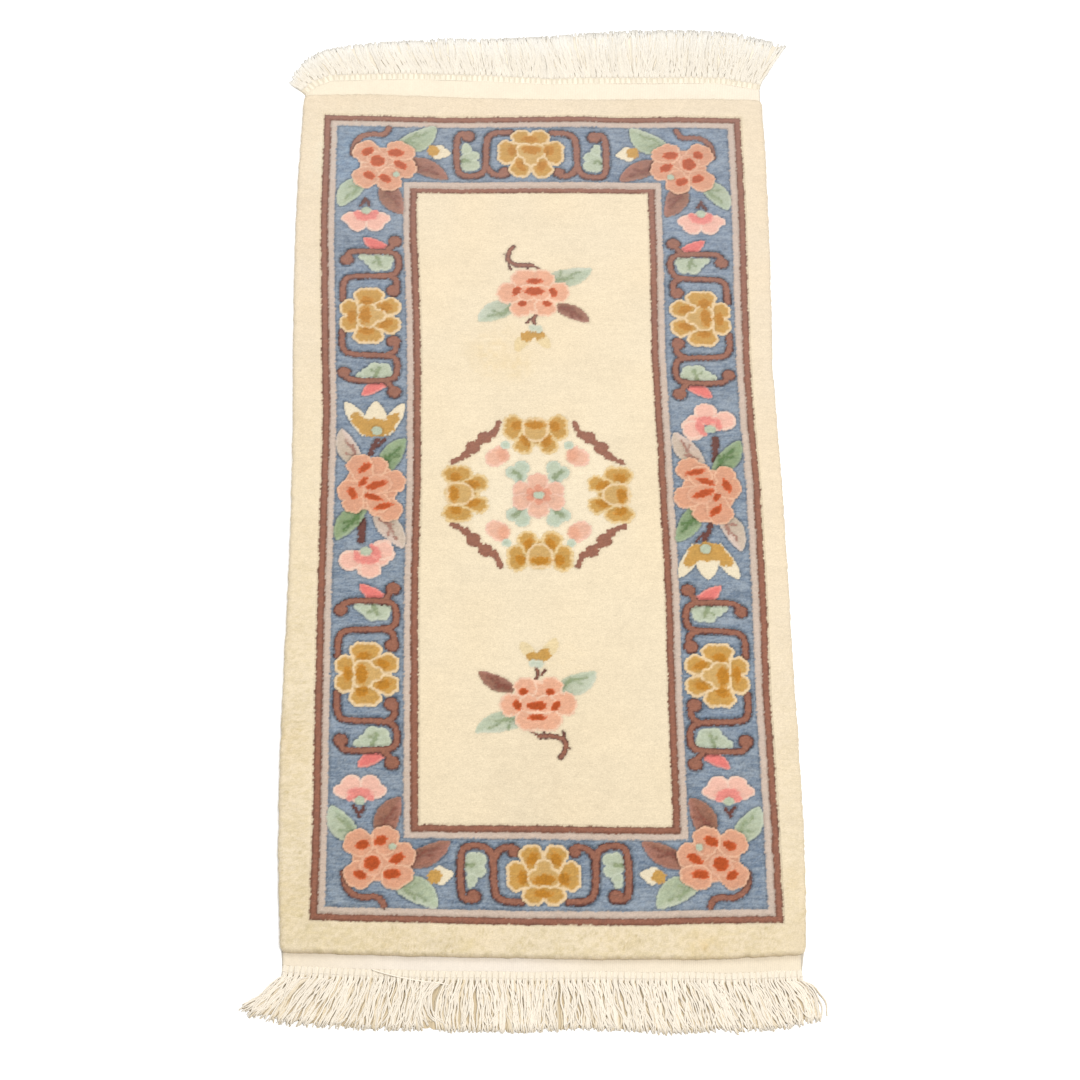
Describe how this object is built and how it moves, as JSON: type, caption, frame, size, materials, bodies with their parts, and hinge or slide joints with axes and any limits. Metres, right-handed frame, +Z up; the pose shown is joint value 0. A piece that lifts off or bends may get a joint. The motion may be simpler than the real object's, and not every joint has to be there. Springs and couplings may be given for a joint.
{
  "type": "peking rug",
  "caption": "Flat hand-knotted wool rug with a thick carved pile, flower border and medallion, flat-woven ends and a knotted cotton fringe.",
  "frame": {"origin": "on the floor, under the middle of the whole rug with its fringes", "axes": "+X across the rug, +Y along it towards the far fringe, +Z up out of the pile"},
  "size_m": [0.6896, 1.4616, 0.0125],
  "materials": {
    "wool": "cut wool pile, matt, carved along the pattern",
    "cotton": "undyed twisted cotton yarn, matt"
  },
  "bodies": {
    "root": {"carpet": "wool", "fringe_far": "cotton", "fringe_near": "cotton"}
  },
  "joints": []
}
